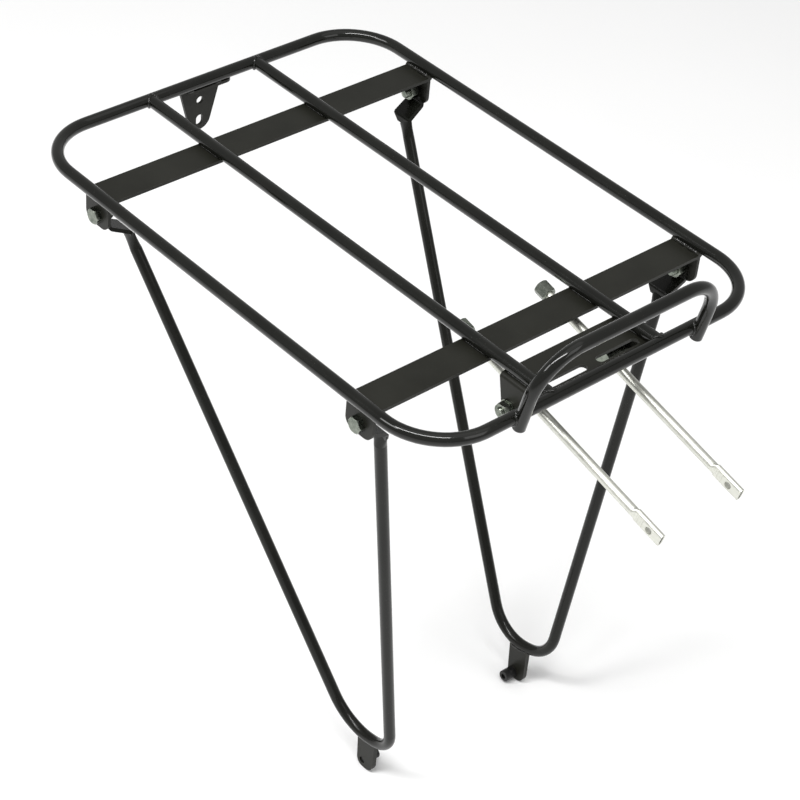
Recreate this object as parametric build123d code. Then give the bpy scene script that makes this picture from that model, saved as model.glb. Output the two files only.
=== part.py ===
from build123d import *
from math import acos, atan2, cos, hypot, sin, sqrt
import os

# Bicycle rear rack, in millimetres.  +X is the bicycle's front, +Y its left side, +Z up.
# The origin is the middle of the deck, on the centreline plane of the deck's tubes.

# Deck: a loop of bent tube with two inner bars between its front and rear tubes
TUBE_RADIUS = 4.25
DECK_HALF_LENGTH = 196.0
DECK_HALF_WIDTH = 140.0
DECK_CORNER_RADIUS = 42.0
INNER_BAR_Y = 45.0

# Strip steel under the deck's tubes, let in 0.25 mm where it is welded to them
STRIP_TOP = -4.0
STRIP_THICKNESS = 2.2
STRIP_BEND_RADIUS = 0.8
CROSS_PLATE_WIDTH = 24.0
REAR_EAR_X = -127.5
FRONT_EAR_X = 131.3
EAR_OUTER_Y = 137.4
EAR_BOLT_Z = -18.6
EAR_BOTTOM_Z = -26.6
EAR_CORNER_RADIUS = 7.0
WELD_RADIUS = 1.9
WELD_INSET = 0.6

# Legs: on each side one tube bent into a V, in a plane that leans in towards the wheel
LEG_RADIUS = 4.0
LEG_PLANE_Y = 124.2
LEG_LEAN = 0.1439
REAR_STRUT_SLOPE = 0.619
FRONT_STRUT_SLOPE = -0.0207
REAR_CORNER_Z = -353.5
FRONT_CORNER_Z = -341.8
REAR_LEG_BEND = 33.0
FRONT_LEG_BEND = 24.5

# The struts' flattened tops: a tab on the ear, a shelf folded inwards, then the round tube
TAB_HALF_WIDTH = 6.5
TAB_THICKNESS = 2.4
SHELF_TOP_Z = -25.6
SHELF_FOOT_Z = -32.0
SHELF_BACK_REACH = 10.5
REAR_SHELF_REACH = 5.0
FRONT_SHELF_REACH = 6.8
SHELF_BEND_RADIUS = 2.0
NECK_Z = -34.5
NECK_RADII = (6.8, 1.3)
STRIP_END_Z = -36.5
STRIP_END_HALF_WIDTH = 5.2
ROUND_Z = -44.0
OVAL_AT = 0.45
OVAL_RADII = (5.4, 2.7)

# Foot lugs under the legs
LUG_OUTER_Y = 74.0
LUG_THICKNESS = 3.5
LUG_BACK_X = 90.3
LUG_FRONT_X = 107.8
LUG_TAPER = 2.0
LUG_TOP_Z = -346.0
LUG_TIP_Z = -379.5
LUG_BACK_CORNER = 6.0
LUG_FRONT_CORNER = 7.5
LUG_GROOVE = 0.6
LUG_HOLE_X = 97.2
LUG_HOLE_Z = -374.0

# Hoop that stands on the front tube and stops the load
HOOP_BASE_X = 200.1
HOOP_LEAN = 0.213
HOOP_HALF_WIDTH = 74.6
HOOP_TOP_Z = 46.2
HOOP_FOOT_Z = -7.0
HOOP_BEND_RADIUS = 30.4

# Bracket under the front of the deck that holds the two stays
BRACKET_BACK_X = 157.0
BRACKET_FRONT_X = 195.0
BRACKET_OUTER_Y = 51.0
BRACKET_EAR_HALF_TOP = 11.0
BRACKET_TIP_RADIUS = 6.8
SLOT_X = 182.5
SLOT_WIDTH = 6.0
SLOT_INNER_Y = 4.5
SLOT_OUTER_Y = 39.5

# Stays to the bicycle's seat stays: rods that slide in eye bolts and slope down to the front
STAY_Y = 34.0
STAY_RADIUS = 3.2
STAY_DROP = 0.255
PIVOT_X = 167.0
PIVOT_Z = -24.8
STAY_BACK_REACH = 66.5
STAY_FRONT_REACH = 120.0
STAY_PRESS_FROM = 95.5
STAY_TAB_FROM = 98.5
STAY_TAB_HEIGHT = 9.4
STAY_TAB_THICKNESS = 4.2
STAY_CRIMPS_AT = (101.0, 104.5)
STAY_CRIMP_DEPTH = 0.5
STAY_CRIMP_RADIUS = 1.0
STAY_MOUTH_WIDTH = 1.6
STAY_MOUTH_DEPTH = 5.0
STAY_HOLE_AT = 110.8
STAY_HOLE_RADIUS = 2.5
STOP_NUT_FROM = -65.5
STOP_NUT_LENGTH = 9.0
STOP_NUT_FLATS = 9.5
EYE_RADIUS = 7.0
EYE_HALF_LENGTH = 5.5
SLEEVE_RADIUS = 5.2
SLEEVE_GAP = 0.3
EYE_BOLT_END = 1.5

# Tail bracket under the rear tube, for a reflector or lamp
TAIL_FACE_X = -199.0
TAIL_FLANGE_FRONT_X = -192.8
TAIL_FLANGE_Y = (-18.5, 24.0)
TAIL_FLANGE_CORNER = 6.0
TAIL_HALF_WIDTH = 17.0
TAIL_UPPER_HOLE_Z = -17.3
TAIL_LOWER_HOLE_Z = -33.2
TAIL_HOLE_RADIUS = 2.9
TAIL_SLOT_LENGTH = 8.4
TAIL_TIP_Z = -31.5
TAIL_TIP_RADIUS = 9.5

# Fasteners: M6 at the ears and eye bolts, M5 at the feet
M6_RADIUS = 3.0
M6_FLATS = 10.0
M6_HEAD_HEIGHT = 4.0
M6_NUT_HEIGHT = 5.0
M6_WASHER_RADIUS = 6.0
M6_WASHER_THICKNESS = 1.0
M6_BOLT_LENGTH = 13.0
M5_RADIUS = 2.5
M5_FLATS = 8.0
M5_NUT_HEIGHT = 4.5
M5_HEAD_RADIUS = 4.25
M5_HEAD_HEIGHT = 5.0
M5_SOCKET_FLATS = 4.0
M5_SOCKET_DEPTH = 2.5
HOLE_CLEARANCE = 0.2
RUNNING_FIT = 0.05
EDGE_BREAK = 0.4

STRIP_BOTTOM = STRIP_TOP - STRIP_THICKNESS
EAR_INNER_Y = EAR_OUTER_Y - STRIP_THICKNESS
TAB_INNER_Y = EAR_INNER_Y - TAB_THICKNESS
LUG_INNER_Y = LUG_OUTER_Y - LUG_THICKNESS
BRACKET_INNER_Y = BRACKET_OUTER_Y - STRIP_THICKNESS
EYE_NUT_OUTER_Y = BRACKET_OUTER_Y + M6_WASHER_THICKNESS + RUNNING_FIT + M6_NUT_HEIGHT
SIDES = {"left": 1, "right": -1}
EARS = {"rear": REAR_EAR_X, "front": FRONT_EAR_X}
REAR_STRUT = (REAR_EAR_X, REAR_STRUT_SLOPE)
FRONT_STRUT = (FRONT_EAR_X, FRONT_STRUT_SLOPE)


# ---- general shapes -----------------------------------------------------------------------------

def rod(start, end, radius):
    """A round bar between two points."""
    run = Vector(*end) - Vector(*start)
    return extrude(Plane(origin=start, z_dir=run) * Circle(radius), run.length)


def cross_rod(x, z, y_from, y_to, radius):
    """A round bar along Y."""
    return rod((x, y_from, z), (x, y_to, z), radius)


def tube_along(path, radius, x_dir=None):
    """A round tube along a path."""
    return sweep(Plane(origin=path @ 0, x_dir=x_dir, z_dir=path % 0) * Circle(radius), path=path)


def on_side(part, side):
    """The part as made for the left side, or its mirror image for the right."""
    return part if side > 0 else mirror(part, about=Plane.XZ)


def facing_out(x, z, y):
    """A sketch plane square to +Y, with its X along +X."""
    return Plane(origin=(x, y, z), x_dir=(1, 0, 0), z_dir=(0, 1, 0))


def hex_piece(plane, height, flats, turned_both_ends):
    """A hexagonal head or nut on a plane, with the corners turned off its outer end or both ends."""
    corner_radius = flats / sqrt(3)
    prism = extrude(plane * RegularPolygon(flats / 2, 6, major_radius=False), height)
    blank = extrude(plane * Circle(corner_radius), height)
    rims = blank.edges().filter_by(GeomType.CIRCLE).sort_by(lambda rim: (rim.center() - plane.origin).length)
    turned = rims if turned_both_ends else rims[-1:]
    return prism & chamfer(turned, (corner_radius - flats / 2) * 0.9)


def tongue(half_top, depth, tip_radius):
    """Outline of a lug: a straight edge along X that tapers down -Y to a round tip."""
    angle = atan2(depth, half_top) - acos(tip_radius / hypot(half_top, depth))
    touch_x = tip_radius * cos(angle)
    touch_y = tip_radius * sin(angle) - depth
    flanks = Polyline((-half_top, 0), (half_top, 0), (touch_x, touch_y), (-touch_x, touch_y), close=True)
    return make_face(flanks) + Pos(0, -depth) * Circle(tip_radius)


# ---- deck -------------------------------------------------------------------------------------

def make_deck_loop():
    """The closed loop of bent tube."""
    return tube_along(RectangleRounded(2 * DECK_HALF_LENGTH, 2 * DECK_HALF_WIDTH, DECK_CORNER_RADIUS).wire(),
                      TUBE_RADIUS)


def make_inner_bar(side, deck_loop):
    """A straight tube along the deck, cut to fit the loop's front and rear tubes."""
    y = side * INNER_BAR_Y
    return rod((-DECK_HALF_LENGTH, y, 0), (DECK_HALF_LENGTH, y, 0), TUBE_RADIUS) - deck_loop


def folded_strip(x_from, x_to, outer_y, tip_z):
    """Strip steel across the rack, with both ends folded down square."""
    inner_y = outer_y - STRIP_THICKNESS
    outline = Polyline((-outer_y, tip_z), (-outer_y, STRIP_TOP), (outer_y, STRIP_TOP), (outer_y, tip_z),
                       (inner_y, tip_z), (inner_y, STRIP_BOTTOM), (-inner_y, STRIP_BOTTOM), (-inner_y, tip_z),
                       close=True)
    profile = make_face(outline)
    profile = fillet(profile.vertices().group_by(Axis.Y)[-1], STRIP_BEND_RADIUS + STRIP_THICKNESS)
    inside = [v for v in profile.vertices() if hypot(abs(v.X) - inner_y, v.Y - STRIP_BOTTOM) < 0.01]
    profile = fillet(inside, STRIP_BEND_RADIUS)
    plane = Plane(origin=(x_from, 0, 0), x_dir=(0, 1, 0), z_dir=(1, 0, 0))
    return extrude(plane * profile, x_to - x_from)


def flat_zone(x_from, x_to, half_width):
    """A box that holds a strip's flat part, down to its underside."""
    return Pos((x_from + x_to) / 2, 0, STRIP_TOP) * Box(x_to - x_from, 2 * half_width, 2 * STRIP_THICKNESS)


def across_rack(sketch, x, half_width):
    """A prism through the whole width of the rack from a sketch whose origin is at the strip's underside."""
    plane = Plane(origin=(x, half_width, STRIP_BOTTOM), x_dir=(1, 0, 0), z_dir=(0, -1, 0))
    return extrude(plane * sketch, 2 * half_width)


def make_cross_plate(ear_x, deck_tubes):
    """A flat strip under the deck, whose folded ends are the ears that the legs bolt to."""
    half = CROSS_PLATE_WIDTH / 2
    reach = EAR_OUTER_Y + 1
    depth = STRIP_BOTTOM - EAR_BOTTOM_Z
    strip = folded_strip(ear_x - half, ear_x + half, EAR_OUTER_Y, EAR_BOTTOM_Z)
    ear = make_face(Polyline((-half, 0), (half, 0), (half, -depth), (-half, -depth), close=True))
    ear = fillet(ear.vertices().group_by(Axis.Y)[0], EAR_CORNER_RADIUS)
    plate = strip & (flat_zone(ear_x - half, ear_x + half, reach) + across_rack(ear, ear_x, reach))
    for side in SIDES.values():
        weld_y = side * (EAR_OUTER_Y - WELD_INSET)
        plate += rod((ear_x - half, weld_y, STRIP_TOP), (ear_x + half, weld_y, STRIP_TOP), WELD_RADIUS)
    holes = cross_rod(ear_x, EAR_BOLT_Z, -reach, reach, M6_RADIUS + HOLE_CLEARANCE)
    return plate - holes - deck_tubes


# ---- legs and feet, made for the left side ------------------------------------------------------

LEG_PLANE_NORMAL = Vector(0, 1, -LEG_LEAN)


def leg_point(x, z):
    """A point of the leaning plane that the left leg's tube lies in."""
    return Vector(x, LEG_PLANE_Y + LEG_LEAN * z, z)


def strut_point(ear_x, slope, z):
    """The point of the strut's axis at a height."""
    return leg_point(ear_x + slope * (EAR_BOLT_Z - z), z)


def make_strut_top(ear_x, slope, shelf_reach, tube_side):
    """The strut's flattened end: a round tab against the ear, a folded shelf and a neck to the tube."""
    tab_y = EAR_INNER_Y - TAB_THICKNESS / 2
    shelf_foot = strut_point(ear_x, slope, SHELF_FOOT_Z)
    strip_end = strut_point(ear_x, slope, STRIP_END_Z)
    folds = FilletPolyline((tab_y, EAR_BOLT_Z), (tab_y, SHELF_TOP_Z), (shelf_foot.Y, SHELF_FOOT_Z),
                           (strip_end.Y, STRIP_END_Z), radius=SHELF_BEND_RADIUS)
    from_behind = Plane(origin=(ear_x - 20, 0, 0), x_dir=(0, 1, 0), z_dir=(1, 0, 0))
    strip = extrude(from_behind * trace(folds, TAB_THICKNESS), 50)
    below_end = STRIP_END_Z - TAB_THICKNESS
    outline = make_face(Polyline((ear_x - TAB_HALF_WIDTH, EAR_BOLT_Z), (ear_x + TAB_HALF_WIDTH, EAR_BOLT_Z),
                                 (shelf_foot.X + shelf_reach, SHELF_FOOT_Z),
                                 (strip_end.X + STRIP_END_HALF_WIDTH, below_end),
                                 (strip_end.X - STRIP_END_HALF_WIDTH, below_end),
                                 (shelf_foot.X - SHELF_BACK_REACH, SHELF_FOOT_Z), close=True))
    from_side = Plane(origin=(0, EAR_OUTER_Y, 0), x_dir=(1, 0, 0), z_dir=(0, -1, 0))
    strip &= extrude(from_side * outline, 30)
    tab = cross_rod(ear_x, EAR_BOLT_Z, TAB_INNER_Y, EAR_INNER_Y, TAB_HALF_WIDTH)
    neck_at = strut_point(ear_x, slope, NECK_Z)
    round_at = strut_point(ear_x, slope, ROUND_Z)
    axis = round_at - neck_at
    start = Vector(1, 0, slope).normalized() * tube_side
    flat = Plane(origin=neck_at, x_dir=start, z_dir=axis) * Ellipse(*NECK_RADII)
    oval = Plane(origin=neck_at + axis * OVAL_AT, x_dir=start, z_dir=axis) * Ellipse(*OVAL_RADII)
    in_leg_plane = axis.cross(LEG_PLANE_NORMAL) * tube_side
    full = Plane(origin=round_at, x_dir=in_leg_plane, z_dir=axis) * Circle(LEG_RADIUS)
    return strip + tab + loft([flat, oval, full])


def make_leg_tube(radius):
    """The round part of the left leg: down the rear strut, along the foot and up the front strut."""
    rear_top = strut_point(*REAR_STRUT, ROUND_Z)
    rear_corner = strut_point(*REAR_STRUT, REAR_CORNER_Z)
    front_corner = strut_point(*FRONT_STRUT, FRONT_CORNER_Z)
    front_top = strut_point(*FRONT_STRUT, ROUND_Z)
    path = FilletPolyline(rear_top, rear_corner, front_corner, front_top,
                          radius=[REAR_LEG_BEND, FRONT_LEG_BEND])
    return tube_along(path, radius, (path % 0).cross(LEG_PLANE_NORMAL))


def make_leg():
    """The left leg: one tube bent into a V, with both ends flattened and drilled."""
    leg = make_leg_tube(LEG_RADIUS)
    leg += make_strut_top(*REAR_STRUT, REAR_SHELF_REACH, 1)
    leg += make_strut_top(*FRONT_STRUT, FRONT_SHELF_REACH, -1)
    for ear_x in EARS.values():
        leg -= cross_rod(ear_x, EAR_BOLT_Z, TAB_INNER_Y - 6, EAR_OUTER_Y, M6_RADIUS + HOLE_CLEARANCE)
    return leg


def make_foot_lug(leg):
    """The plate welded under the left leg, with a weld groove outside and the hole for the foot bolt."""
    outline = Polyline((LUG_BACK_X, -LUG_TOP_Z), (LUG_FRONT_X, -LUG_TOP_Z), (LUG_FRONT_X, -LUG_TIP_Z),
                       (LUG_BACK_X + LUG_TAPER, -LUG_TIP_Z), close=True)
    profile = make_face(outline)
    front_corner = profile.vertices().group_by(Axis.Y)[-1].sort_by(Axis.X)[-1]
    profile = fillet(front_corner, LUG_FRONT_CORNER)
    back_x = LUG_BACK_X + LUG_TAPER
    back_corner = [v for v in profile.vertices() if hypot(v.X - back_x, v.Y + LUG_TIP_Z) < 0.01]
    profile = fillet(back_corner, LUG_BACK_CORNER)
    lug = extrude(facing_out(0, 0, LUG_INNER_Y) * profile, LUG_THICKNESS)
    lug -= cross_rod(LUG_HOLE_X, LUG_HOLE_Z, LUG_INNER_Y, LUG_OUTER_Y, M5_RADIUS + RUNNING_FIT)
    outer_skin = Pos((LUG_BACK_X + LUG_FRONT_X) / 2, LUG_OUTER_Y, LUG_TOP_Z) * Box(50, 2 * LUG_GROOVE, 50)
    weld_groove = make_leg_tube(LEG_RADIUS + LUG_GROOVE) & outer_skin
    below_the_tube = (lug - leg - weld_groove).solids().sort_by(Axis.Z)[0]
    return below_the_tube


# ---- hoop, stay bracket and tail bracket --------------------------------------------------------

def make_front_hoop(deck_loop):
    """The hoop in front of the load, its feet cut to fit the front of the front tube."""
    foot_x = HOOP_BASE_X + HOOP_LEAN * HOOP_FOOT_Z
    top_x = HOOP_BASE_X + HOOP_LEAN * HOOP_TOP_Z
    path = FilletPolyline((foot_x, HOOP_HALF_WIDTH, HOOP_FOOT_Z), (top_x, HOOP_HALF_WIDTH, HOOP_TOP_Z),
                          (top_x, -HOOP_HALF_WIDTH, HOOP_TOP_Z), (foot_x, -HOOP_HALF_WIDTH, HOOP_FOOT_Z),
                          radius=HOOP_BEND_RADIUS)
    return tube_along(path, TUBE_RADIUS) - deck_loop


def make_stay_bracket(deck_tubes):
    """Slotted plate under the front of the deck, with an ear on each side for a stay's eye bolt."""
    reach = BRACKET_OUTER_Y + 1
    strip = folded_strip(BRACKET_BACK_X, BRACKET_FRONT_X, BRACKET_OUTER_Y, PIVOT_Z - BRACKET_TIP_RADIUS)
    ear = tongue(BRACKET_EAR_HALF_TOP, STRIP_BOTTOM - PIVOT_Z, BRACKET_TIP_RADIUS)
    ear_x = BRACKET_BACK_X + BRACKET_EAR_HALF_TOP
    ear = Pos(ear_x - PIVOT_X, 0) * ear
    outline = flat_zone(BRACKET_BACK_X, BRACKET_FRONT_X, reach) + across_rack(ear, PIVOT_X, reach)
    bracket = (strip & outline) - deck_tubes
    for side in SIDES.values():
        slot_y = side * (SLOT_INNER_Y + SLOT_OUTER_Y) / 2
        below = Plane(origin=(SLOT_X, slot_y, STRIP_BOTTOM - 1), x_dir=(0, 1, 0), z_dir=(0, 0, 1))
        bracket -= extrude(below * SlotOverall(SLOT_OUTER_Y - SLOT_INNER_Y, SLOT_WIDTH), STRIP_THICKNESS + 2)
    return bracket - cross_rod(PIVOT_X, PIVOT_Z, -reach, reach, M6_RADIUS + RUNNING_FIT)


def make_tail_bracket(deck_loop):
    """A flange under the rear tube, folded down into a tapered tab with a round and a slotted hole."""
    back_x = TAIL_FACE_X - STRIP_THICKNESS
    tip_z = TAIL_TIP_Z - TAIL_TIP_RADIUS
    outline = Polyline((back_x, tip_z), (back_x, STRIP_TOP), (TAIL_FLANGE_FRONT_X, STRIP_TOP),
                       (TAIL_FLANGE_FRONT_X, STRIP_BOTTOM), (TAIL_FACE_X, STRIP_BOTTOM), (TAIL_FACE_X, tip_z),
                       close=True)
    profile = make_face(outline)
    outer_fold = [v for v in profile.vertices() if hypot(v.X - back_x, v.Y - STRIP_TOP) < 0.01]
    profile = fillet(outer_fold, STRIP_BEND_RADIUS + STRIP_THICKNESS)
    inner_fold = [v for v in profile.vertices() if hypot(v.X - TAIL_FACE_X, v.Y - STRIP_BOTTOM) < 0.01]
    profile = fillet(inner_fold, STRIP_BEND_RADIUS)
    side_view = Plane(origin=(0, TAIL_FLANGE_Y[1], 0), x_dir=(1, 0, 0), z_dir=(0, -1, 0))
    bracket = extrude(side_view * profile, TAIL_FLANGE_Y[1] - TAIL_FLANGE_Y[0])

    right_y, left_y = TAIL_FLANGE_Y
    flange = make_face(Polyline((back_x, right_y), (TAIL_FLANGE_FRONT_X, right_y),
                                (TAIL_FLANGE_FRONT_X, left_y), (back_x, left_y), close=True))
    flange = fillet(flange.vertices().group_by(Axis.X)[-1], TAIL_FLANGE_CORNER)
    flange_zone = extrude(Pos(0, 0, STRIP_BOTTOM) * flange, 2 * STRIP_THICKNESS)
    front_view = Plane(origin=(back_x - 1, 0, STRIP_BOTTOM), x_dir=(0, 1, 0), z_dir=(1, 0, 0))
    tab = tongue(TAIL_HALF_WIDTH, STRIP_BOTTOM - TAIL_TIP_Z, TAIL_TIP_RADIUS)
    bracket &= flange_zone + extrude(front_view * tab, TAIL_FLANGE_FRONT_X - back_x + 2)

    upper = front_view * Pos(0, TAIL_UPPER_HOLE_Z - STRIP_BOTTOM) * Circle(TAIL_HOLE_RADIUS)
    slot = Rot(0, 0, 90) * SlotOverall(TAIL_SLOT_LENGTH, 2 * TAIL_HOLE_RADIUS)
    lower = front_view * Pos(0, TAIL_LOWER_HOLE_Z - STRIP_BOTTOM) * slot
    through = STRIP_THICKNESS + 2
    return bracket - extrude(upper, through) - extrude(lower, through) - deck_loop


# ---- fasteners, made for the left side ----------------------------------------------------------

def make_ear_bolt(x):
    """Hexagon bolt from outside, through the ear and the strut's tab."""
    head = hex_piece(facing_out(x, EAR_BOLT_Z, EAR_OUTER_Y), M6_HEAD_HEIGHT, M6_FLATS, False)
    end_y = EAR_OUTER_Y - M6_BOLT_LENGTH
    shank = cross_rod(x, EAR_BOLT_Z, end_y, EAR_OUTER_Y, M6_RADIUS)
    return head + chamfer(shank.edges().group_by(Axis.Y)[0], EDGE_BREAK)


def make_nut(x, z, y, height, flats, bore_radius):
    """A hexagon nut whose outboard face is at y."""
    nut = hex_piece(facing_out(x, z, y - height), height, flats, True)
    return nut - cross_rod(x, z, y - height - 1, y + 1, bore_radius)


def make_foot_bolt():
    """Socket head cap screw, in from the wheel side and screwed into the foot lug."""
    shoulder_y = LUG_INNER_Y - M5_NUT_HEIGHT
    head_y = shoulder_y - M5_HEAD_HEIGHT
    head = cross_rod(LUG_HOLE_X, LUG_HOLE_Z, head_y, shoulder_y, M5_HEAD_RADIUS)
    head = chamfer(head.edges().group_by(Axis.Y)[0], EDGE_BREAK)
    hexagon = RegularPolygon(M5_SOCKET_FLATS / 2, 6, major_radius=False)
    socket = facing_out(LUG_HOLE_X, LUG_HOLE_Z, head_y) * hexagon
    shank = cross_rod(LUG_HOLE_X, LUG_HOLE_Z, shoulder_y, LUG_OUTER_Y - 1, M5_RADIUS)
    return head + shank - extrude(socket, M5_SOCKET_DEPTH)


# ---- stays and their eye bolts, made for the left side ------------------------------------------

STAY_DIRECTION = Vector(1, 0, -STAY_DROP).normalized()


def stay_plane(reach):
    """A plane square to the stay, a distance forward of the pivot, with its X along +Y."""
    origin = Vector(PIVOT_X, STAY_Y, PIVOT_Z) + STAY_DIRECTION * reach
    return Plane(origin=origin, x_dir=(0, 1, 0), z_dir=STAY_DIRECTION)


def make_stay():
    """A rod whose front end is pressed flat, crimped and drilled for the bolt at the bicycle's seat stay."""
    stay = extrude(stay_plane(-STAY_BACK_REACH) * Circle(STAY_RADIUS), STAY_BACK_REACH + STAY_PRESS_FROM)
    stay = chamfer(stay.edges().group_by(Axis.X)[0], EDGE_BREAK)
    pressed = Ellipse(STAY_TAB_THICKNESS / 2 - EDGE_BREAK / 2, STAY_TAB_HEIGHT / 2 - EDGE_BREAK / 2)
    stay += loft([stay_plane(STAY_PRESS_FROM) * Circle(STAY_RADIUS), stay_plane(STAY_TAB_FROM) * pressed])
    section = Rot(0, 0, 90) * SlotOverall(STAY_TAB_HEIGHT, STAY_TAB_THICKNESS)
    stay += extrude(stay_plane(STAY_TAB_FROM) * section, STAY_FRONT_REACH - STAY_TAB_FROM)
    hollow = Rot(0, 0, 90) * SlotOverall(STAY_TAB_HEIGHT - 2, STAY_MOUTH_WIDTH)
    stay -= extrude(stay_plane(STAY_FRONT_REACH - STAY_MOUTH_DEPTH) * hollow, STAY_MOUTH_DEPTH)
    crimp_y = STAY_TAB_THICKNESS / 2 - STAY_CRIMP_DEPTH + STAY_CRIMP_RADIUS
    for reach in STAY_CRIMPS_AT:
        for y in (crimp_y, -crimp_y):
            crimp = Pos(y, 0, 0) * Rot(90, 0, 0) * Cylinder(STAY_CRIMP_RADIUS, STAY_TAB_HEIGHT + 2)
            stay -= stay_plane(reach) * crimp
    hole = stay_plane(STAY_HOLE_AT).origin
    return stay - cross_rod(hole.X, hole.Z, STAY_Y - 5, STAY_Y + 5, STAY_HOLE_RADIUS)


def make_stop_nut():
    """Long hexagon nut on the stay's rear end, which stops the stay from pulling out of the eye."""
    nut = hex_piece(stay_plane(STOP_NUT_FROM), STOP_NUT_LENGTH, STOP_NUT_FLATS, True)
    return nut - extrude(stay_plane(STOP_NUT_FROM - 1) * Circle(STAY_RADIUS), STOP_NUT_LENGTH + 2)


def make_eye_bolt():
    """Bolt whose barrel head has a cross hole for the stay; its shank turns in the bracket's ear."""
    barrel = cross_rod(PIVOT_X, PIVOT_Z, STAY_Y - EYE_HALF_LENGTH, STAY_Y + EYE_HALF_LENGTH, EYE_RADIUS)
    barrel = chamfer(barrel.edges().filter_by(GeomType.CIRCLE), EDGE_BREAK)
    shank = cross_rod(PIVOT_X, PIVOT_Z, STAY_Y, EYE_NUT_OUTER_Y + EYE_BOLT_END, M6_RADIUS)
    shank = chamfer(shank.edges().group_by(Axis.Y)[-1], EDGE_BREAK)
    hole = extrude(stay_plane(-2 * EYE_RADIUS) * Circle(STAY_RADIUS + RUNNING_FIT), 4 * EYE_RADIUS)
    return barrel + shank - hole


def make_eye_sleeve():
    """Sleeve on the eye bolt's shank, between the barrel head and the bracket's ear."""
    start_y = STAY_Y + EYE_HALF_LENGTH + SLEEVE_GAP
    sleeve = cross_rod(PIVOT_X, PIVOT_Z, start_y, BRACKET_INNER_Y, SLEEVE_RADIUS)
    return sleeve - cross_rod(PIVOT_X, PIVOT_Z, start_y, BRACKET_INNER_Y, M6_RADIUS + RUNNING_FIT)


def make_eye_washer():
    """Flat washer between the bracket's ear and the eye bolt's nut."""
    outer_y = BRACKET_OUTER_Y + M6_WASHER_THICKNESS
    washer = cross_rod(PIVOT_X, PIVOT_Z, BRACKET_OUTER_Y, outer_y, M6_WASHER_RADIUS)
    return washer - cross_rod(PIVOT_X, PIVOT_Z, BRACKET_OUTER_Y, outer_y, M6_RADIUS + RUNNING_FIT)


# ---- the whole rack -----------------------------------------------------------------------------

deck_loop = make_deck_loop()
inner_bars = {name: make_inner_bar(side, deck_loop) for name, side in SIDES.items()}
deck_tubes = deck_loop + inner_bars["left"] + inner_bars["right"]
leg = make_leg()
nut_bore = M6_RADIUS + RUNNING_FIT
foot_nut_bore = M5_RADIUS + RUNNING_FIT

nodes = {
    "deck_loop": deck_loop,
    "front_hoop": make_front_hoop(deck_loop),
    "stay_bracket": make_stay_bracket(deck_tubes),
    "tail_bracket": make_tail_bracket(deck_loop),
}
for name, ear_x in EARS.items():
    nodes["cross_plate_" + name] = make_cross_plate(ear_x, deck_tubes)

for name, side in SIDES.items():
    nodes["inner_bar_" + name] = inner_bars[name]
    for piece, shape in {
        "leg": leg,
        "foot_lug": make_foot_lug(leg),
        "foot_bolt": make_foot_bolt(),
        "foot_nut": make_nut(LUG_HOLE_X, LUG_HOLE_Z, LUG_INNER_Y, M5_NUT_HEIGHT, M5_FLATS, foot_nut_bore),
        "stay": make_stay(),
        "stop_nut": make_stop_nut(),
        "eye_bolt": make_eye_bolt(),
        "eye_sleeve": make_eye_sleeve(),
        "eye_washer": make_eye_washer(),
        "eye_nut": make_nut(PIVOT_X, PIVOT_Z, EYE_NUT_OUTER_Y, M6_NUT_HEIGHT, M6_FLATS, nut_bore),
    }.items():
        nodes[piece + "_" + name] = on_side(shape, side)

ear_bolts = []
ear_nuts = []
for side in SIDES.values():
    for ear_x in EARS.values():
        ear_bolts.append(on_side(make_ear_bolt(ear_x), side))
        ear_nut = make_nut(ear_x, EAR_BOLT_Z, TAB_INNER_Y, M6_NUT_HEIGHT, M6_FLATS, nut_bore)
        ear_nuts.append(on_side(ear_nut, side))
nodes["ear_bolts"] = Compound(children=ear_bolts)
nodes["ear_nuts"] = Compound(children=ear_nuts)

os.makedirs("parts", exist_ok=True)
for name, shape in nodes.items():
    export_step(shape, "parts/" + name + ".step")
    print(name, len(shape.solids()), round(shape.volume))
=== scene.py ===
import math
import random
import bpy
from mathutils import Matrix, Vector
from mathutils.bvhtree import BVHTree


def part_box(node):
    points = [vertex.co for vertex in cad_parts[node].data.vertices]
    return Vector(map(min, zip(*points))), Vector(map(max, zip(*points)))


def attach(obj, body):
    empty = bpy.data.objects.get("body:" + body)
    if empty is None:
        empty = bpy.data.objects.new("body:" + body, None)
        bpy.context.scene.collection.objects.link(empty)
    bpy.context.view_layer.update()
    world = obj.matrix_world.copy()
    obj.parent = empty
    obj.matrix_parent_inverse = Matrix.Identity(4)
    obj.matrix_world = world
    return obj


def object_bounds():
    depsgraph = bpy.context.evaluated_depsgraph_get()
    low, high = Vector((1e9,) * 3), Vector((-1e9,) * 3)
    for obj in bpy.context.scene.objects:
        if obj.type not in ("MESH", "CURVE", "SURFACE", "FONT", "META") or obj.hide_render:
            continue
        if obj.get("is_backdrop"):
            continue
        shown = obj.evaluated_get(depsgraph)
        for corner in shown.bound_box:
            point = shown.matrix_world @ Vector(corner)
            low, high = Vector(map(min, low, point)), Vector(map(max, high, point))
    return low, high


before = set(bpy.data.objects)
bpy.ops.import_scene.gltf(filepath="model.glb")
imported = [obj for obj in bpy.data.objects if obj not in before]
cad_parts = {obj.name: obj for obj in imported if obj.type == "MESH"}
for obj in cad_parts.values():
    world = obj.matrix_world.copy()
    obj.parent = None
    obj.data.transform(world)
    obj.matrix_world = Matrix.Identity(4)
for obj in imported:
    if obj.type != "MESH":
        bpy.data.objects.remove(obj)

# The looks of a bicycle's rear rack.  Metres, in the frame of the CAD model:
# +X is the bicycle's front, +Y its left side, +Z up, the origin is the middle of the deck.

MM = 0.001
CAD_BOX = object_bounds()
SIDES = {"left": 1, "right": -1}
RACK = "rack"


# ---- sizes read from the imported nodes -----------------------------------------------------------

def middle(node):
    low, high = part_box(node)
    return (low + high) / 2


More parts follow.
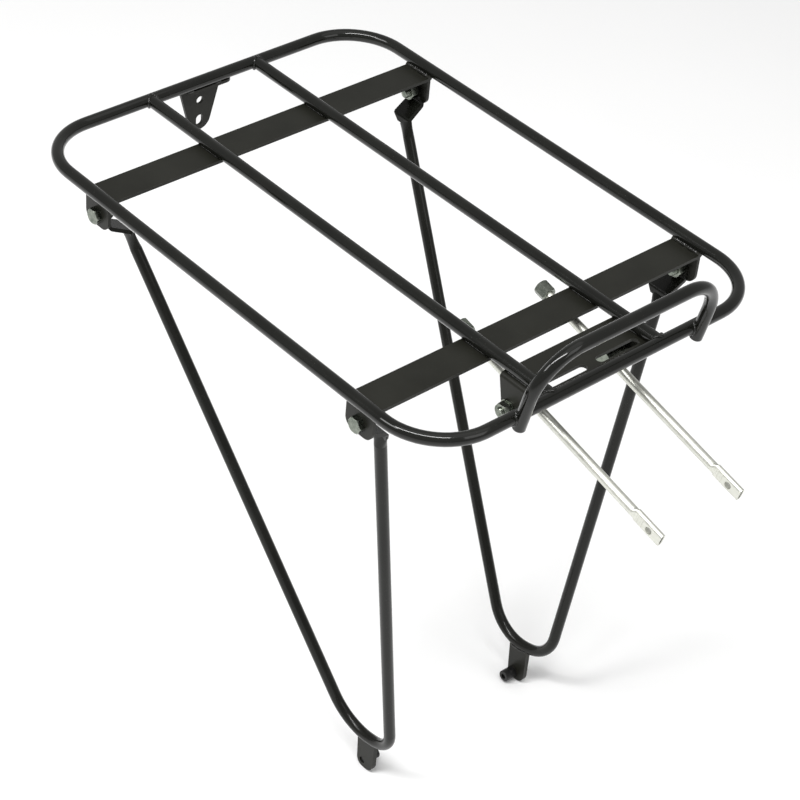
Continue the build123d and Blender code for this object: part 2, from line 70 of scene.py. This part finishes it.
deck_low, deck_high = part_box("deck_loop")
TUBE_R = (deck_high.z - deck_low.z) / 2
REAR_TUBE_X = deck_low.x + TUBE_R
FRONT_TUBE_X = deck_high.x - TUBE_R
BAR_Y = middle("inner_bar_left").y
hoop_low, hoop_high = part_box("front_hoop")
HOOP_Y = hoop_high.y - TUBE_R
HOOP_LEAN = 0.213
HOOP_TOP_X = hoop_high.x - TUBE_R
HOOP_TOP_Z = hoop_high.z - TUBE_R

# Weld beads: the step between their points, how they ripple, swell and wander, and each kind's radius
BEAD_STEP = 0.3 * MM
RIPPLE_LENGTH = 1.3 * MM
SWELL_LENGTH = 7.0 * MM
HAND_WANDER = 0.05 * MM
TUBE_BEAD = 1.15 * MM
PLATE_BEAD = 0.95 * MM
STRIP_BEAD = 1.0 * MM
EAR_BEAD = 1.9 * MM
EAR_RIPPLE_LENGTH = 1.6 * MM

# Where the weld lines lie: heights from the deck's centreline plane and distances from a tube's middle
PLATE_WELD_Z = -3.75 * MM
TUBE_WELD_Z = -3.8 * MM
EAR_WELD_Z = -3.7 * MM
BESIDE = 2.35 * MM
EAR_WELD_INWARD = 3.3 * MM

# M6 threads: their ridges and where they start and end on the ear bolts
M6_R = 3.0 * MM
M6_PITCH = 1.0 * MM
RIDGE_RADIUS = 0.33 * MM
RIDGE_SINK = 0.08 * MM
THREAD_SETBACK = 0.3 * MM
EAR_THREAD_FROM = 128.0 * MM
EAR_THREAD_TO = 124.7 * MM


# ---- mesh tools -----------------------------------------------------------------------------------

def mesh_object(name, vertices, faces):
    mesh = bpy.data.meshes.new(name)
    mesh.from_pydata(vertices, [], faces)
    mesh.update()
    for polygon in mesh.polygons:
        polygon.use_smooth = True
    piece = bpy.data.objects.new(name, mesh)
    bpy.context.scene.collection.objects.link(piece)
    return piece


def even_points(path, step, closed):
    """The path's points moved to even steps along it."""
    ring = path + [path[0]] if closed else path
    runs = [(b - a).length for a, b in zip(ring, ring[1:])]
    count = max(6, round(sum(runs) / step))
    spots = count if closed else count + 1
    found = []
    for i in range(spots):
        left = sum(runs) * i / count
        k = 0
        while k < len(runs) - 1 and left > runs[k]:
            left -= runs[k]
            k += 1
        share = min(1.0, left / runs[k]) if runs[k] > 0 else 0.0
        found.append(ring[k].lerp(ring[k + 1], share))
    return found


def tube_mesh(path, radii, closed, around, base):
    """Vertices and faces of a tube along a path, with its own radius at each point."""
    count = len(path)
    vertices = []
    faces = []
    normal = None
    for i, point in enumerate(path):
        ahead = path[(i + 1) % count] if closed or i < count - 1 else point
        behind = path[i - 1] if closed or i > 0 else point
        along = (ahead - behind).normalized()
        if normal is None:
            normal = along.orthogonal().normalized()
        normal = (normal - along * normal.dot(along)).normalized()
        across = along.cross(normal)
        for j in range(around):
            turn = 2 * math.pi * j / around
            vertices.append(point + (normal * math.cos(turn) + across * math.sin(turn)) * radii[i])
    for i in range(count if closed else count - 1):
        here = base + i * around
        there = base + ((i + 1) % count) * around
        for j in range(around):
            k = (j + 1) % around
            faces.append((here + j, here + k, there + k, there + j))
    if not closed:
        faces.append(tuple(base + j for j in reversed(range(around))))
        faces.append(tuple(base + (count - 1) * around + j for j in range(around)))
    return vertices, faces


def weld_beads(name, paths, radius, closed, pitch=RIPPLE_LENGTH, seed=1):
    """Hand-laid weld beads: tubes whose radius swells with each ripple and wanders a little."""
    chance = random.Random(seed)
    vertices = []
    faces = []
    for path in paths:
        points = even_points(path, BEAD_STEP, closed)
        radii = []
        wander = []
        phase = chance.uniform(0, 6)
        slow = chance.uniform(0, 6)
        count = len(points)
        for i, point in enumerate(points):
            far = i * BEAD_STEP
            ripple = abs(math.sin(math.pi * far / pitch + phase)) ** 0.6
            size = radius * (0.84 + 0.2 * ripple + 0.08 * math.sin(2 * math.pi * far / SWELL_LENGTH + slow))
            if not closed:
                size *= min(1.0, 0.35 + min(i, count - 1 - i) * 0.13)
            radii.append(size)
            wander.append(point + Vector([chance.uniform(-1, 1) * HAND_WANDER for _ in range(3)]))
        found = tube_mesh(wander, radii, closed, 10, len(vertices))
        vertices += found[0]
        faces += found[1]
    piece = mesh_object(name, vertices, faces)
    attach(piece, RACK)
    return piece


def thread_ridges(name, ends, radius, pitch, body):
    """Screw threads: a rounded helical ridge on each bolt end, from one point of its axis to another."""
    vertices = []
    faces = []
    for start, finish in ends:
        axis = finish - start
        along = axis.normalized()
        one = along.orthogonal().normalized()
        two = along.cross(one)
        steps = max(12, round(axis.length / pitch * 28))
        path = []
        radii = []
        for i in range(steps + 1):
            turn = 2 * math.pi * axis.length / pitch * i / steps
            spoke = one * math.cos(turn) + two * math.sin(turn)
            path.append(start + axis * (i / steps) + spoke * (radius - RIDGE_SINK))
            radii.append(RIDGE_RADIUS * min(1.0, 0.2 + i * 0.06, 0.2 + (steps - i) * 0.06))
        found = tube_mesh(path, radii, False, 8, len(vertices))
        vertices += found[0]
        faces += found[1]
    piece = mesh_object(name, vertices, faces)
    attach(piece, body)
    return piece


# ---- procedural materials -------------------------------------------------------------------------

class Material:
    """A node tree on one Principled shader, with helpers for the textures used here."""

    def __init__(self, name):
        self.material = bpy.data.materials.new(name)
        self.material.use_nodes = True
        self.tree = self.material.node_tree
        self.shader = self.tree.nodes["Principled BSDF"]
        self.place = self.add("ShaderNodeTexCoord").outputs["Object"]

    def add(self, kind):
        return self.tree.nodes.new(kind)

    def join(self, source, target):
        self.tree.links.new(source, target)

    def stretched(self, scale, turn=0.0):
        """The object's own coordinates, stretched and turned about Y."""
        mapping = self.add("ShaderNodeMapping")
        mapping.inputs["Rotation"].default_value = (0, turn, 0)
        mapping.inputs["Scale"].default_value = scale
        self.join(self.place, mapping.inputs["Vector"])
        return mapping.outputs["Vector"]

    def noise(self, scale, detail=3.0, rough=0.5, vector=None):
        noise = self.add("ShaderNodeTexNoise")
        noise.inputs["Scale"].default_value = scale
        noise.inputs["Detail"].default_value = detail
        noise.inputs["Roughness"].default_value = rough
        self.join(vector or self.place, noise.inputs["Vector"])
        return noise.outputs["Fac"]

    def spots(self, scale, size):
        """1 inside small scattered spots, 0 elsewhere."""
        cells = self.add("ShaderNodeTexVoronoi")
        cells.inputs["Scale"].default_value = scale
        self.join(self.place, cells.inputs["Vector"])
        return self.remap(cells.outputs["Distance"], size, size * 0.4, 0.0, 1.0)

    def remap(self, value, from_low, from_high, to_low, to_high):
        remap = self.add("ShaderNodeMapRange")
        remap.inputs["From Min"].default_value = from_low
        remap.inputs["From Max"].default_value = from_high
        remap.inputs["To Min"].default_value = to_low
        remap.inputs["To Max"].default_value = to_high
        self.join(value, remap.inputs["Value"])
        return remap.outputs["Result"]

    def math(self, operation, one, two):
        node = self.add("ShaderNodeMath")
        node.operation = operation
        for socket, value in zip(node.inputs, (one, two)):
            if isinstance(value, float):
                socket.default_value = value
            else:
                self.join(value, socket)
        return node.outputs["Value"]

    def blend(self, share, one, two):
        """A colour between two, each a tuple or a socket."""
        mix = self.add("ShaderNodeMix")
        mix.data_type = "RGBA"
        self.join(share, mix.inputs["Factor"])
        for socket, value in ((mix.inputs[6], one), (mix.inputs[7], two)):
            if isinstance(value, tuple):
                socket.default_value = (*value, 1)
            else:
                self.join(value, socket)
        return mix.outputs[2]

    def edges(self, width):
        """1 on sharp outer edges, 0 on flats."""
        bevel = self.add("ShaderNodeBevel")
        bevel.samples = 4
        bevel.inputs["Radius"].default_value = width
        surface = self.add("ShaderNodeNewGeometry")
        dot = self.add("ShaderNodeVectorMath")
        dot.operation = "DOT_PRODUCT"
        self.join(bevel.outputs["Normal"], dot.inputs[0])
        self.join(surface.outputs["Normal"], dot.inputs[1])
        return self.remap(dot.outputs["Value"], 0.98, 0.80, 0.0, 1.0)

    def bumps(self, layers):
        """Bump from several (height, strength, distance) layers."""
        normal = None
        for height, strength, distance in layers:
            bump = self.add("ShaderNodeBump")
            bump.inputs["Strength"].default_value = strength
            bump.inputs["Distance"].default_value = distance
            self.join(height, bump.inputs["Height"])
            if normal is not None:
                self.join(normal, bump.inputs["Normal"])
            normal = bump.outputs["Normal"]
        self.join(normal, self.shader.inputs["Normal"])

    def set(self, **values):
        for key, value in values.items():
            self.shader.inputs[key.replace("_", " ")].default_value = value

    def finish(self, colour, roughness):
        self.join(colour, self.shader.inputs["Base Color"])
        self.join(roughness, self.shader.inputs["Roughness"])
        return self.material


def black_paint(name, dark, light, gloss, sheen_and_wear=0.35, coat=0.4):
    """Stoved enamel: deep black with a faint olive cast, orange peel, settled dust, and edges lightened as
    a painted highlight with a little wear.
    """
    m = Material(name)
    m.set(Specular_IOR_Level=0.2, Coat_Weight=coat, Coat_Roughness=0.05)
    cloud = m.noise(28, 4, 0.55)
    fine = m.noise(1300, 2, 0.5)
    colour = m.blend(m.remap(cloud, 0.35, 0.65, 0.0, 1.0), dark, light)
    dust = m.math("MULTIPLY", m.spots(520, 0.16), m.remap(m.noise(90), 0.45, 0.7, 0.0, 1.0))
    colour = m.blend(m.math("MULTIPLY", dust, 0.5), colour, (0.075, 0.074, 0.066))
    # Lighter edges: a painted edge highlight, with a little paint worn thin
    edge_sheen_and_wear = m.math("MULTIPLY", m.edges(0.5 * MM), m.remap(m.noise(420, 4, 0.7), 0.44, 0.62, 0.0, sheen_and_wear))
    colour = m.blend(edge_sheen_and_wear, colour, (0.10, 0.10, 0.09))
    roughness = m.remap(cloud, 0.3, 0.7, gloss - 0.04, gloss + 0.05)
    roughness = m.math("ADD", roughness, m.math("MULTIPLY", dust, 0.3))
    m.bumps(((m.noise(620, 2, 0.4), 0.10, 0.05 * MM), (fine, 0.05, 0.02 * MM)))
    return m.finish(colour, roughness)


def zinc_plate(name, dark, light, gloss):
    """Bright zinc on a steel fastener: mottled greenish silver, fine turning lines, brighter edges."""
    m = Material(name)
    m.set(Metallic=1.0)
    cloud = m.noise(230, 5, 0.6)
    colour = m.blend(m.remap(cloud, 0.35, 0.65, 0.0, 1.0), dark, light)
    stain = m.remap(m.noise(520, 3, 0.6), 0.58, 0.72, 0.0, 0.55)
    colour = m.blend(stain, colour, (0.10, 0.11, 0.088))
    colour = m.blend(m.math("MULTIPLY", m.edges(0.35 * MM), 0.7), colour, (0.62, 0.64, 0.58))
    roughness = m.remap(m.noise(700, 4, 0.6), 0.3, 0.7, gloss - 0.08, gloss + 0.12)
    m.bumps(((m.noise(1500, 3, 0.6), 0.25, 0.05 * MM), (m.noise(350, 2), 0.2, 0.08 * MM)))
    return m.finish(colour, roughness)


def drawn_aluminium(name):
    """Satin drawn rod: pale metal with fine lines along its length and a few darker handling marks."""
    m = Material(name)
    m.set(Metallic=0.85)
    slope = math.atan(0.255)
    lines = m.noise(1.0, 4, 0.65, m.stretched((30, 2600, 2600), slope))
    cloud = m.noise(60, 4, 0.6)
    colour = m.blend(m.remap(lines, 0.3, 0.7, 0.0, 1.0), (0.56, 0.565, 0.51), (0.76, 0.765, 0.70))
    colour = m.blend(m.remap(cloud, 0.55, 0.75, 0.0, 0.35), colour, (0.44, 0.445, 0.40))
    roughness = m.remap(lines, 0.3, 0.7, 0.30, 0.46)
    m.bumps(((lines, 0.22, 0.03 * MM), (m.noise(420, 2), 0.12, 0.05 * MM)))
    return m.finish(colour, roughness)


def blackened_steel(name):
    """Oxide-blackened socket screws and their nuts: dark, slightly oily, greyer where handled."""
    m = Material(name)
    m.set(Metallic=0.4, Specular_IOR_Level=0.5)
    cloud = m.noise(320, 4, 0.6)
    colour = m.blend(m.remap(cloud, 0.35, 0.7, 0.0, 1.0), (0.006, 0.006, 0.006), (0.020, 0.020, 0.019))
    colour = m.blend(m.math("MULTIPLY", m.edges(0.3 * MM), 0.5), colour, (0.13, 0.13, 0.12))
    roughness = m.remap(m.noise(900, 3), 0.3, 0.7, 0.30, 0.48)
    m.bumps(((m.noise(1800, 3, 0.6), 0.25, 0.04 * MM),))
    return m.finish(colour, roughness)


def pale_floor(name):
    m = Material(name)
    colour = m.blend(m.noise(3, 3, 0.5), (0.93, 0.93, 0.93), (0.95, 0.95, 0.945))
    m.bumps(((m.noise(60, 3), 0.05, 0.5 * MM),))
    return m.finish(colour, m.remap(m.noise(8, 2), 0.3, 0.7, 0.75, 0.85))


GLOSSY = black_paint("black_enamel", (0.0040, 0.0043, 0.0032), (0.0066, 0.0070, 0.0054), 0.14)
LEG_PAINT = black_paint("black_enamel_legs",
                        (0.0052, 0.0054, 0.0041), (0.0084, 0.0086, 0.0068), 0.22, 0.35, 0.1)
FLAT_PAINT = black_paint("black_enamel_strip",
                         (0.0105, 0.0106, 0.0080), (0.0150, 0.0151, 0.0118), 0.36, 0.35, 0.0)
WELD_PAINT = black_paint("black_enamel_weld",
                         (0.0052, 0.0054, 0.0042), (0.0086, 0.0088, 0.0070), 0.20, 0.6)
ZINC = zinc_plate("zinc_plate", (0.13, 0.15, 0.125), (0.27, 0.29, 0.25), 0.24)
ALUMINIUM = drawn_aluminium("drawn_aluminium")
OXIDE = blackened_steel("blackened_steel")

LOOKS = {
    "deck_loop": GLOSSY, "inner_bar": GLOSSY, "front_hoop": GLOSSY,
    "cross_plate": FLAT_PAINT, "stay_bracket": FLAT_PAINT, "tail_bracket": FLAT_PAINT,
    "leg": LEG_PAINT, "foot_lug": FLAT_PAINT, "foot_bolt": OXIDE, "foot_nut": OXIDE,
    "ear_bolts": ZINC, "ear_nuts": ZINC, "eye_bolt": ZINC, "eye_nut": ZINC, "eye_sleeve": ZINC,
    "eye_washer": ZINC, "stop_nut": ZINC, "stay": ALUMINIUM,
}


def look_of(node):
    """The material of a CAD node, by the longest name that its own name starts with."""
    found = [key for key in LOOKS if node.startswith(key)]
    return LOOKS[max(found, key=len)]


for name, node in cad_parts.items():
    node.data.materials.clear()
    node.data.materials.append(look_of(name))


# ---- weld beads -----------------------------------------------------------------------------------

def bar_end_ring(tube_x, inward, y):
    """The line where an inner bar meets the front or rear tube."""
    ring = []
    for i in range(96):
        turn = 2 * math.pi * i / 96
        z = TUBE_R * math.sin(turn)
        reach = math.sqrt(max(TUBE_R ** 2 - z ** 2, 0) + (0.5 * MM) ** 2)
        ring.append(Vector((tube_x + inward * reach, y + TUBE_R * math.cos(turn), z)))
    return ring


def hoop_foot_ring(y):
    """The line where a foot of the hoop meets the front tube."""
    down = Vector((-HOOP_LEAN, 0, -1)).normalized()
    top = Vector((HOOP_TOP_X, y, HOOP_TOP_Z))
    side = Vector((0, 1, 0))
    back = side.cross(down).normalized()
    if back.x > 0:
        back = -back
    near = []
    far = []
    for i in range(-60, 61):
        turn = math.radians(i * 1.5)
        start = top + (back * math.cos(turn) + side * math.sin(turn)) * TUBE_R
        offset = Vector((start.x - FRONT_TUBE_X, 0, start.z))
        run = Vector((down.x, 0, down.z))
        a = run.dot(run)
        b = 2 * offset.dot(run)
        c = offset.dot(offset) - TUBE_R ** 2
        root = b * b - 4 * a * c
        if root > 0:
            near.append(start + down * ((-b - math.sqrt(root)) / (2 * a)))
            far.append(start + down * ((-b + math.sqrt(root)) / (2 * a)))
    lowest = hoop_low.z
    far = [p for p in far if p.z > lowest]
    return near + far[::-1] if len(far) > 2 else near


bar_rings = []
for y in (BAR_Y, -BAR_Y):
    bar_rings.append(bar_end_ring(REAR_TUBE_X, 1, y))
    bar_rings.append(bar_end_ring(FRONT_TUBE_X, -1, y))
weld_beads("bar_end_welds", bar_rings, TUBE_BEAD, True, seed=3).data.materials.append(WELD_PAINT)

hoop_rings = [hoop_foot_ring(HOOP_Y), hoop_foot_ring(-HOOP_Y)]
weld_beads("hoop_foot_welds", hoop_rings, TUBE_BEAD, True, seed=5).data.materials.append(WELD_PAINT)


def line_along_x(x_from, x_to, y, z):
    return [Vector((x_from + (x_to - x_from) * i / 20, y, z)) for i in range(21)]


def line_along_y(y_from, y_to, x, z):
    return [Vector((x, y_from + (y_to - y_from) * i / 20, z)) for i in range(21)]


# Along both sides of each inner bar where it lies on the cross plates and on the stay bracket
bar_lines = []
for plate in ("cross_plate_rear", "cross_plate_front"):
    low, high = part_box(plate)
    for bar_side in (BAR_Y, -BAR_Y):
        for beside in (-BESIDE, BESIDE):
            line = line_along_x(low.x + 3 * MM, high.x - 3 * MM, bar_side + beside, PLATE_WELD_Z)
            bar_lines.append(line)
low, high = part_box("stay_bracket")
for bar_side in (BAR_Y, -BAR_Y):
    for beside in (-BESIDE, BESIDE):
        line = line_along_x(low.x + 2 * MM, low.x + 22 * MM, bar_side + beside, PLATE_WELD_Z)
        bar_lines.append(line)
weld_beads("bar_plate_welds", bar_lines, PLATE_BEAD, False, seed=7).data.materials.append(WELD_PAINT)

# Over the joint between each ear and its rail, on the outside and on the plate
ear_lines = []
for plate in ("cross_plate_rear", "cross_plate_front"):
    low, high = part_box(plate)
    for side in SIDES.values():
        rail_y = side * (deck_high.y - TUBE_R)
        line_y = rail_y - side * EAR_WELD_INWARD
        ear_lines.append(line_along_x(low.x + 1.5 * MM, high.x - 1.5 * MM, line_y, EAR_WELD_Z))
ear_welds = weld_beads("ear_welds", ear_lines, EAR_BEAD, False, EAR_RIPPLE_LENGTH, seed=9)
ear_welds.data.materials.append(WELD_PAINT)

# The bracket's front edge under the front tube, and two short runs at the tail flange
tube_lines = [line_along_y(-32 * MM, -14 * MM, FRONT_TUBE_X - BESIDE, TUBE_WELD_Z),
              line_along_y(14 * MM, 32 * MM, FRONT_TUBE_X - BESIDE, TUBE_WELD_Z),
              line_along_y(-15 * MM, -9 * MM, REAR_TUBE_X + BESIDE, PLATE_WELD_Z),
              line_along_y(8 * MM, 14 * MM, REAR_TUBE_X + BESIDE, PLATE_WELD_Z)]
weld_beads("cross_tube_welds", tube_lines, STRIP_BEAD, False, seed=11).data.materials.append(WELD_PAINT)


def surface_tree(node):
    """A search tree of a CAD node's faces, in the rack's own frame."""
    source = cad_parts[node]
    corners = [source.matrix_world @ corner.co for corner in source.data.vertices]
    return BVHTree.FromPolygons(corners, [tuple(face.vertices) for face in source.data.polygons])


def lug_line(leg_tree, plane_y):
    """The line under the left leg's foot along a face of its lug, found by looking up at the leg."""
    low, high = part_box("foot_lug_left")
    points = []
    for i in range(25):
        x = low.x + 1.2 * MM + (high.x - low.x - 2.4 * MM) * i / 24
        hit = leg_tree.ray_cast(Vector((x, plane_y, low.z)), Vector((0, 0, 1)))[0]
        if hit is not None:
            points.append(Vector((x, plane_y, hit.z - 0.2 * MM)))
    return points


lug_lines = []
low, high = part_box("foot_lug_left")
leg_tree = surface_tree("leg_left")
for line in (lug_line(leg_tree, high.y - 0.2 * MM), lug_line(leg_tree, low.y + 0.2 * MM)):
    for side in SIDES.values():
        lug_lines.append([Vector((point.x, side * point.y, point.z)) for point in line])
weld_beads("foot_lug_welds", lug_lines, PLATE_BEAD, False, seed=13).data.materials.append(WELD_PAINT)


# ---- screw threads --------------------------------------------------------------------------------

ear_z = middle("ear_bolts").z
ear_ends = []
for x in (middle("cross_plate_rear").x, middle("cross_plate_front").x):
    for side in SIDES.values():
        tip = Vector((x, side * EAR_THREAD_TO, ear_z))
        ear_ends.append((Vector((x, side * EAR_THREAD_FROM, ear_z)), tip))
thread_ridges("ear_bolt_threads", ear_ends, M6_R, M6_PITCH, RACK).data.materials.append(ZINC)

for name, side in SIDES.items():
    low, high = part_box("eye_bolt_" + name)
    nut_low, nut_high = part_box("eye_nut_" + name)
    pivot = middle("eye_bolt_" + name)
    outer_face = nut_high.y if side > 0 else nut_low.y
    tip = high.y if side > 0 else low.y
    start = Vector((pivot.x, outer_face - side * THREAD_SETBACK, pivot.z))
    finish = Vector((pivot.x, tip - side * THREAD_SETBACK, pivot.z))
    thread = thread_ridges("eye_bolt_thread_" + name, [(start, finish)], M6_R, M6_PITCH, "clamp_" + name)
    thread.data.materials.append(ZINC)


# ---- floor, light and camera ------------------------------------------------------------------------

def floor():
    half = 6.0
    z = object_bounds()[0].z - 0.2 * MM
    corners = [Vector((x, y, z)) for x, y in ((-half, -half), (half, -half), (half, half), (-half, half))]
    piece = mesh_object("floor", corners, [(0, 1, 2, 3)])
    piece.data.materials.append(pale_floor("pale_floor"))
    piece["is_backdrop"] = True


def soft_light(name, place, target, size, power, along=(1, 0, 0)):
    """A rectangular light that faces a target, its first side turned along a direction."""
    data = bpy.data.lights.new(name, "AREA")
    data.shape = "RECTANGLE"
    data.size, data.size_y = size
    data.energy = power
    lamp = bpy.data.objects.new(name, data)
    bpy.context.scene.collection.objects.link(lamp)
    away = (Vector(place) - Vector(target)).normalized()
    first = Vector(along)
    first = (first - away * first.dot(away)).normalized()
    turned = Matrix((first, away.cross(first), away)).transposed().to_4x4()
    lamp.matrix_world = Matrix.Translation(place) @ turned


floor()
centre = (CAD_BOX[0] + CAD_BOX[1]) / 2
soft_light("key", (0.34, -0.86, 2.0), centre, (2.0, 0.2), 46, (0.78, 0.62, 0))
soft_light("side", (-0.6, -1.6, 1.5), centre, (0.8, 0.6), 12)
soft_light("fill", (1.8, 0.4, 1.2), centre, (1.2, 1.0), 6)
soft_light("top", (0.3, 0.2, 2.4), centre, (2.4, 2.4), 9)

world = bpy.data.worlds.new("studio")
bpy.context.scene.world = world
world.use_nodes = True
world.node_tree.nodes["Background"].inputs["Color"].default_value = (1.0, 1.0, 1.0, 1)
world.node_tree.nodes["Background"].inputs["Strength"].default_value = 0.46
bpy.context.scene.view_settings.view_transform = "Standard"

CAMERA_PLACE = Vector((0.9092, -0.8770, 0.8542))
CAMERA_LENS = 107.475
AZIMUTH, ELEVATION, ROLL = (math.radians(angle) for angle in (45.25, 38.47, 5.73))


def make_camera():
    back = Vector((math.sin(AZIMUTH) * math.cos(ELEVATION), -math.cos(AZIMUTH) * math.cos(ELEVATION),
                   math.sin(ELEVATION)))
    right = Vector((math.cos(AZIMUTH), math.sin(AZIMUTH), 0))
    up = back.cross(right)
    across = right * math.cos(ROLL) + up * math.sin(ROLL)
    upward = up * math.cos(ROLL) - right * math.sin(ROLL)
    data = bpy.data.cameras.new("camera")
    data.lens = CAMERA_LENS
    data.sensor_width = 36
    data.clip_start = 0.01
    camera = bpy.data.objects.new("camera", data)
    bpy.context.scene.collection.objects.link(camera)
    turned = Matrix((across, upward, back)).transposed().to_4x4()
    camera.matrix_world = Matrix.Translation(CAMERA_PLACE) @ turned
    bpy.context.scene.camera = camera


make_camera()
